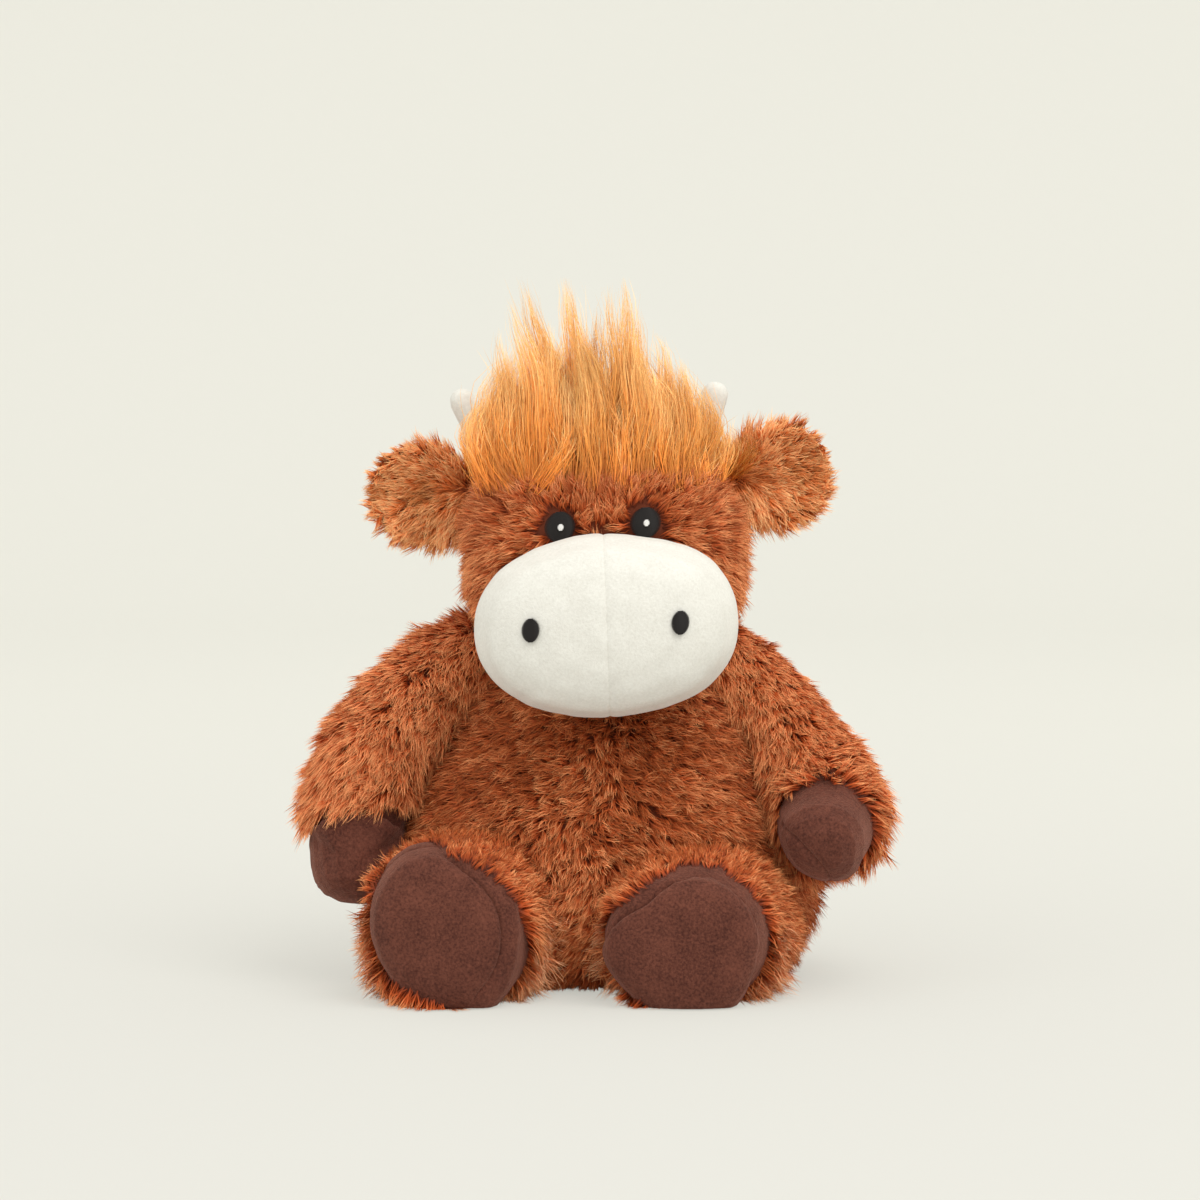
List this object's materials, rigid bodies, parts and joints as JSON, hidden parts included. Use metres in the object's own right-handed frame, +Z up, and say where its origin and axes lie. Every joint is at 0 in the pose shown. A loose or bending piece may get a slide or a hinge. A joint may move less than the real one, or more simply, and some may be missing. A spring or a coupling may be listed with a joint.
{
  "type": "plush cow",
  "caption": "Sitting stuffed cow in long fur with a velour muzzle, hooves and feet, folding ears, small horns and a standing forelock.",
  "frame": {"origin": "on the flat seat that the cow sits on, below the middle of its body and head", "axes": "+Z up; the cow faces -Y; its own left side is at +X"},
  "size_m": [0.2666, 0.2095, 0.3095],
  "materials": {
    "rust_fur": "long-pile faux fur, clumped, soft sheen",
    "gold_hair": "long straight faux hair, satin",
    "white_velour": "short velour, matt",
    "brown_velour": "short velour, matt with a soft sheen",
    "black_thread": "satin stitch embroidery thread",
    "white_thread": "embroidery thread",
    "fibre_filling": "loose polyester fibre",
    "pouch_cloth": "plain woven cotton bag of pellets"
  },
  "bodies": {
    "body": {"body_skin": "rust_fur", "body_filling": "fibre_filling", "pellet_pouch": "pouch_cloth"},
    "head": {"head_skin": "rust_fur", "head_filling": "fibre_filling", "muzzle_left": "white_velour", "muzzle_right": "white_velour", "muzzle_filling": "fibre_filling", "eye_left": "black_thread", "eye_right": "black_thread", "eye_glint_left": "white_thread", "eye_glint_right": "white_thread", "nostril_left": "black_thread", "nostril_right": "black_thread", "horn_left": "white_velour", "horn_right": "white_velour", "forelock": "gold_hair"},
    "ear_left": {"ear_left_front": "rust_fur", "ear_left_back": "rust_fur"},
    "ear_right": {"ear_right_front": "rust_fur", "ear_right_back": "rust_fur"},
    "arm_left": {"arm_skin_left": "rust_fur", "hoof_left": "brown_velour", "arm_filling_left": "fibre_filling"},
    "arm_right": {"arm_skin_right": "rust_fur", "hoof_right": "brown_velour", "arm_filling_right": "fibre_filling"},
    "leg_left": {"leg_skin_left": "rust_fur", "foot_upper_left": "brown_velour", "foot_sole_left": "brown_velour", "leg_filling_left": "fibre_filling"},
    "leg_right": {"leg_skin_right": "rust_fur", "foot_upper_right": "brown_velour", "foot_sole_right": "brown_velour", "leg_filling_right": "fibre_filling"},
    "tail": {"tail": "rust_fur", "tail_tuft": "gold_hair"}
  },
  "joints": [
    {"name": "neck_nod", "type": "hinge", "parent": "body", "child": "head", "pos_m": [0, 0.04402, 0.157], "axis": [-1, 0, 0], "range_deg": [0, 25]},
    {"name": "ear_left_fold", "type": "hinge", "parent": "head", "child": "ear_left", "pos_m": [0.06201, 0.006, 0.23014], "axis": [-0.0523, 0, 0.9986], "range_deg": [-30, 30], "stiffness_Nm_per_rad": 0.02},
    {"name": "ear_right_fold", "type": "hinge", "parent": "head", "child": "ear_right", "pos_m": [-0.06097, 0.006, 0.2237], "axis": [-0.0523, 0, 0.9986], "range_deg": [-30, 30], "stiffness_Nm_per_rad": 0.02},
    {"name": "arm_left_lift", "type": "hinge", "parent": "body", "child": "arm_left", "pos_m": [0.05802, 0, 0.162], "axis": [0, -1, 0], "range_deg": [0, 45]},
    {"name": "arm_right_lift", "type": "hinge", "parent": "body", "child": "arm_right", "pos_m": [-0.05802, 0, 0.162], "axis": [0, 1, 0], "range_deg": [0, 45]},
    {"name": "leg_left_lift", "type": "hinge", "parent": "body", "child": "leg_left", "pos_m": [0.044, -0.036, 0.0815], "axis": [-1, 0, 0], "range_deg": [0, 25]},
    {"name": "leg_right_lift", "type": "hinge", "parent": "body", "child": "leg_right", "pos_m": [-0.044, -0.036, 0.0815], "axis": [-1, 0, 0], "range_deg": [0, 25]},
    {"name": "tail_lift", "type": "hinge", "parent": "body", "child": "tail", "pos_m": [0, 0.074, 0.0705], "axis": [1, 0, 0], "range_deg": [0, 60]}
  ]
}
